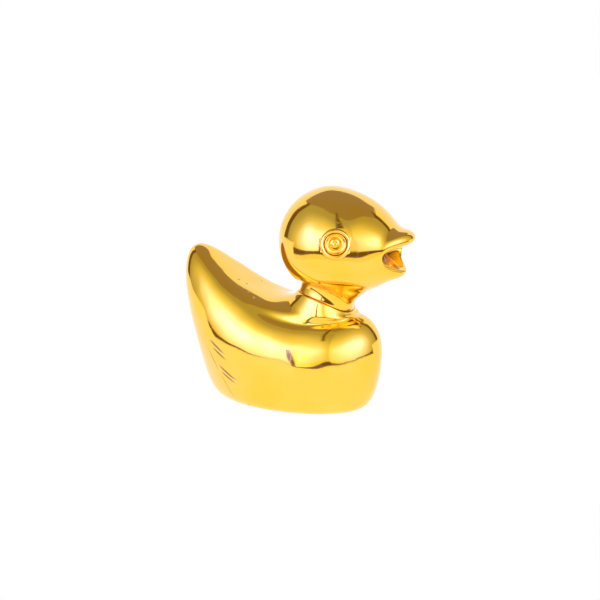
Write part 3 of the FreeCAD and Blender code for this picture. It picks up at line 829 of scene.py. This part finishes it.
dress(felt, feltMaterial())
steel, plate = ((hiddenLook[name], hiddenLook[f"{name}Worn"]) for name in ("steel", "plate"))
turnedSteel = workedMetal("turned steel", *steel, 0.22, (300, 300, 3200))
facedSteel = workedMetal("faced steel", *steel, 0.26, (2600, 300, 300))
brushedPlate = workedMetal("brushed plate brass", *plate, 0.24, (200, 3400, 3400))
screwBrass = workedMetal("screw brass", *plate, 0.20, (1800, 400, 1800))
for node, material in (("neck_stud", turnedSteel), ("neck_nut", facedSteel), ("neck_washer", facedSteel),
                       ("base_plate", brushedPlate), ("base_screws", screwBrass)):
    dress(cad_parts[node], material)

# The studio

studio = {
    # the camera: degrees and millimetres
    "azimuth": 24.0,
    "elevation": 14.0,
    "lookAt": (3.1, 0.0, 31.0),
    "distance": 341.0,
    "frame": 184.3,
    "shift": (-0.0165, 0.0092),
    "clip": (0.01, 20),
    # the room, in metres; rises are counted from the duck's middle
    "middleHeight": 0.03,
    "background": 1.0,
    "fill": 0.6,
    "tableTone": (0.5, 0.5, 0.5, 1),
    "tableGloss": 0.7,
    "tableGlow": 0.75,
    # the table ends close to the duck on the camera's side and far off behind it
    "tableFront": 0.108,
    "frontTurn": 88,
    "tableBack": 2.5,
    "tableSteps": 144,
    "cardSteps": 180,
    "ceilingBack": 2.6,
    "ceilingFront": 2.2,
    "ceilingHalf": 2.0,
    "ceilingHeight": 2.6,
    "dim": 0.36,
    "dimColour": (1.0, 0.82, 1.0, 1),
    "dark": 0.17,
    "darkColour": (1.0, 0.62, 0.3, 1),
    # distance, two turns and two rises of the dark wall round the duck
    "wall": (2.0, -126, 122, -18.5, 52.1),
    "softbox": 0.47,
    "panelDistance": 0.8,
    "panelFoot": 0.203,
    # reach and strength of the glow in the cloth, and of the whiter lamps behind it
    "wide": (1.7, 0.62),
    "hot": (0.62, 12.0),
    "lampColour": (0.10, 0.10, 1.0, 1),
    "lampFall": 1.6,
    # turn of the panel's middle, turns of its two ends, top as rise over distance
    "softboxes": {"left": (-50.0, -113.0, 8.0, 3.0), "right": (50.0, 4.0, 110.0, 2.4)},
    # turn and rise of each lamp
    "hotSpots": {"left": (-52.0, 16.0), "middle": (-9.0, 14.0), "right": (40.0, 18.0)},
    # dark joints between the softboxes: distance, turns and rises
    "joints": {"low": (0.6, -24.4, -20.4, -12.0, 17.0), "high": (0.6, -5.0, -1.5, 40.0, 70.0)},
}


def makeCamera():
    azimuth, elevation = math.radians(studio["azimuth"]), math.radians(studio["elevation"])
    back = Vector((math.sin(azimuth) * math.cos(elevation), -math.cos(azimuth) * math.cos(elevation),
                   math.sin(elevation)))
    target = Vector(studio["lookAt"])
    camera = bpy.data.cameras.new("camera")
    holder = bpy.data.objects.new("camera", camera)
    bpy.context.scene.collection.objects.link(holder)
    holder.location = (target + back * studio["distance"]) * mm
    holder.rotation_euler = back.to_track_quat("Z", "Y").to_euler()
    camera.angle = 2 * math.atan(studio["frame"] / 2 / studio["distance"])
    camera.shift_x, camera.shift_y = studio["shift"]
    camera.clip_start, camera.clip_end = studio["clip"]
    bpy.context.scene.camera = holder


print("stage: studio")
makeCamera()
bpy.context.scene.view_settings.view_transform = "Standard"


def emissionNode(tree, colour, strength):
    light = tree.nodes.new("ShaderNodeEmission")
    light.inputs["Color"].default_value = colour
    if isinstance(strength, float):
        light.inputs["Strength"].default_value = strength
    else:
        tree.links.new(strength, light.inputs["Strength"])
    return light.outputs["Emission"]


def emitter(name, strength, colour=(1, 1, 1, 1), lamps=()):
    # an even glow that grows towards its lamps, which are whiter than what the brass gives back
    material = bpy.data.materials.new(name)
    material.use_nodes = True
    tree = material.node_tree
    tree.nodes.clear()
    glow, glare = strength, 0.0
    where = objectPlace(tree) if lamps else None
    wide, extra = studio["wide"]
    hot, power = studio["hot"]
    for place in lamps:
        soft = ballFade(tree, "QUADRATIC_SPHERE", place, (0, 0, 0), (wide, wide, wide), where)
        glow = mathNode(tree, "MULTIPLY_ADD", soft, extra, glow)
        bare = ballFade(tree, "SPHERICAL", place, (0, 0, 0), (hot, hot, hot), where)
        bare = mathNode(tree, "POWER", bare, studio["lampFall"])
        glare = mathNode(tree, "MULTIPLY_ADD", bare, power, glare)
    light = emissionNode(tree, colour, glow)
    if lamps:
        both = tree.nodes.new("ShaderNodeAddShader")
        tree.links.new(light, both.inputs[0])
        tree.links.new(emissionNode(tree, studio["lampColour"], glare), both.inputs[1])
        light = both.outputs[0]
    out = tree.nodes.new("ShaderNodeOutputMaterial")
    tree.links.new(light, out.inputs["Surface"])
    return material


def toward(azimuth, elevation, distance):
    # azimuth is counted from the camera's side, positive to its right
    turn = math.radians(studio["azimuth"] + azimuth)
    rise = math.radians(elevation)
    return Vector((math.sin(turn) * math.cos(rise), -math.cos(turn) * math.cos(rise),
                   math.sin(rise))) * distance


def cameraTurn(point):
    # the turn of a point round the duck, from -180 to 180 degrees, 0 on the camera's side
    turn = math.degrees(math.atan2(point.x, -point.y)) - studio["azimuth"]
    return (turn + 180) % 360 - 180


def hideFromCamera(card):
    card.visible_camera = False
    card.visible_shadow = False


def wallCard(name, radius, fromTurn, toTurn, fromRise, toRise, material):
    # an upright curved card round the duck, seen only in the brass
    deselectAll()
    bottom = studio["middleHeight"] + radius * math.tan(math.radians(fromRise))
    top = studio["middleHeight"] + radius * math.tan(math.radians(toRise))
    bpy.ops.mesh.primitive_cylinder_add(vertices=studio["cardSteps"], radius=radius, depth=top - bottom,
                                        end_fill_type="NOTHING", location=(0, 0, (top + bottom) / 2))
    card = bpy.context.object
    card.name = name
    bpy.ops.object.transform_apply(location=True, rotation=True, scale=True)
    bpy.ops.object.mode_set(mode="EDIT")
    bpy.ops.mesh.select_all(action="DESELECT")
    bpy.ops.mesh.select_mode(type="FACE")
    mesh = bmesh.from_edit_mesh(card.data)
    for face in mesh.faces:
        face.select = not fromTurn <= cameraTurn(face.calc_center_median()) <= toTurn
    bmesh.update_edit_mesh(card.data)
    bpy.ops.mesh.delete(type="FACE")
    bpy.ops.object.mode_set(mode="OBJECT")
    card.data.materials.append(material)
    hideFromCamera(card)


def flatCard(name, corners, material):
    # a flat card with its corners in rows, seen only in the brass
    deselectAll()
    bpy.ops.mesh.primitive_plane_add(size=1.0, location=(0, 0, 0))
    card = bpy.context.object
    card.name = name
    for vertex, corner in zip(card.data.vertices, corners):
        vertex.co = corner
    card.data.materials.append(material)
    hideFromCamera(card)


def softPanel(name, middle, start, end, ratio, material):
    # an upright panel between two turns, its top at ratio times its distance
    away = studio["panelDistance"]
    out, along = toward(middle, 0, 1), toward(middle + 90, 0, 1)
    corners = [out * away + along * away * math.tan(math.radians(turn - middle))
               + Vector((0, 0, studio["middleHeight"] + rise))
               for rise in (-away * studio["panelFoot"], away * ratio) for turn in (start, end)]
    flatCard(name, corners, material)


def makeWorld():
    # white where the camera and the brass look past the cards, a weaker fill for all else
    world = bpy.context.scene.world or bpy.data.worlds.new("studio")
    bpy.context.scene.world = world
    world.use_nodes = True
    tree = world.node_tree
    tree.nodes.clear()
    path = tree.nodes.new("ShaderNodeLightPath")
    mix = tree.nodes.new("ShaderNodeMixShader")
    out = tree.nodes.new("ShaderNodeOutputWorld")
    seen = mathNode(tree, "MAXIMUM", path.outputs["Is Camera Ray"], path.outputs["Is Glossy Ray"])
    tree.links.new(seen, mix.inputs["Fac"])
    for place, strength in ((1, studio["fill"]), (2, studio["background"])):
        light = tree.nodes.new("ShaderNodeBackground")
        light.inputs["Strength"].default_value = strength
        light.inputs["Color"].default_value = (1, 1, 1, 1)
        tree.links.new(light.outputs[0], mix.inputs[place])
    tree.links.new(mix.outputs[0], out.inputs["Surface"])


def makeTable():
    table, _, shader = newMaterial("white table")
    shader.inputs["Base Color"].default_value = studio["tableTone"]
    shader.inputs["Roughness"].default_value = studio["tableGloss"]
    shader.inputs["Emission Color"].default_value = (1, 1, 1, 1)
    shader.inputs["Emission Strength"].default_value = studio["tableGlow"]
    deselectAll()
    bpy.ops.mesh.primitive_circle_add(vertices=studio["tableSteps"], radius=1.0, fill_type="TRIFAN",
                                      location=(0, 0, 0))
    ground = bpy.context.object
    ground.name = "table"
    for vertex in ground.data.vertices:
        if vertex.co.length > 0.5:
            inFront = abs(cameraTurn(vertex.co)) < studio["frontTurn"]
            vertex.co = vertex.co.normalized() * studio["tableFront" if inFront else "tableBack"]
    ground.data.materials.append(table)


def makeStudio():
    makeWorld()
    makeTable()
    ceiling = emitter("dim ceiling", studio["dim"], colour=studio["dimColour"])
    darkFrame = emitter("dark frame", studio["dark"], colour=studio["darkColour"])
    behind, across = toward(180, 0, 1), toward(90, 0, 1)
    flatCard("ceiling", [behind * depth + across * side * studio["ceilingHalf"]
                         + Vector((0, 0, studio["ceilingHeight"]))
                         for depth in (-studio["ceilingFront"], studio["ceilingBack"])
                         for side in (-1, 1)], ceiling)
    wallCard("dark_wall", *studio["wall"], darkFrame)
    lamps = [toward(turn, rise, studio["panelDistance"]) + Vector((0, 0, studio["middleHeight"]))
             for turn, rise in studio["hotSpots"].values()]
    box = emitter("softbox", studio["softbox"], lamps=lamps)
    for word, (middle, start, end, ratio) in studio["softboxes"].items():
        softPanel(f"softbox_{word}", middle, start, end, ratio, box)
    for word, joint in studio["joints"].items():
        wallCard(f"joint_{word}", *joint, darkFrame)


makeStudio()
